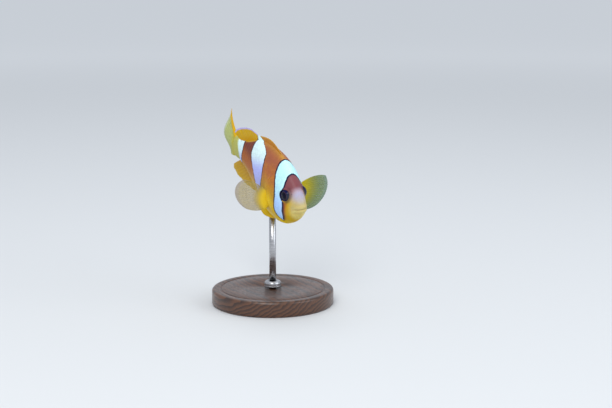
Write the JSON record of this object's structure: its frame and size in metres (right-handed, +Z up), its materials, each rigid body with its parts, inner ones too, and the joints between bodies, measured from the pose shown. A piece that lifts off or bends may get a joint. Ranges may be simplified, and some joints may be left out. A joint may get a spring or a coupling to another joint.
{
  "type": "clownfish display model",
  "caption": "Life-size young three-banded clownfish swimming nose a little down, fins spread and tail swung, on a rod and a round wooden base.",
  "frame": {"origin": "centre of the stand's foot, on the surface it stands on, below the rod", "axes": "+Z up out of the foot; +X the way the fish heads, seen from above; +Y to the fish's left"},
  "size_m": [0.062, 0.043, 0.0667],
  "materials": {
    "orange_skin": "wet-looking fish skin, orange-brown with white bands edged in black",
    "yellow_skin": "wet-looking fish skin, yellow",
    "yellow_fin": "smooth yellow fin with fine rays",
    "pale_fin": "thin, half-clear pale yellow fin with fine rays",
    "eye": "polished, nearly black",
    "base_wood": "dark turned wood, satin",
    "rod_steel": "fine brushed steel"
  },
  "bodies": {
    "root": {"head": "orange_skin", "lower_jaw": "yellow_skin", "gill_cover_left": "orange_skin", "gill_cover_right": "orange_skin", "eye_left": "eye", "eye_right": "eye", "trunk": "orange_skin", "tail_stalk": "yellow_skin", "tail_fin": "pale_fin", "dorsal_fin_spiny": "orange_skin", "dorsal_fin_soft": "yellow_fin", "anal_fin": "yellow_fin", "pectoral_fin_left": "pale_fin", "pectoral_fin_right": "pale_fin", "pelvic_fin_left": "yellow_fin", "pelvic_fin_right": "yellow_fin", "stand_base": "base_wood", "stand_rod": "rod_steel", "stand_collar": "rod_steel"}
  },
  "joints": []
}
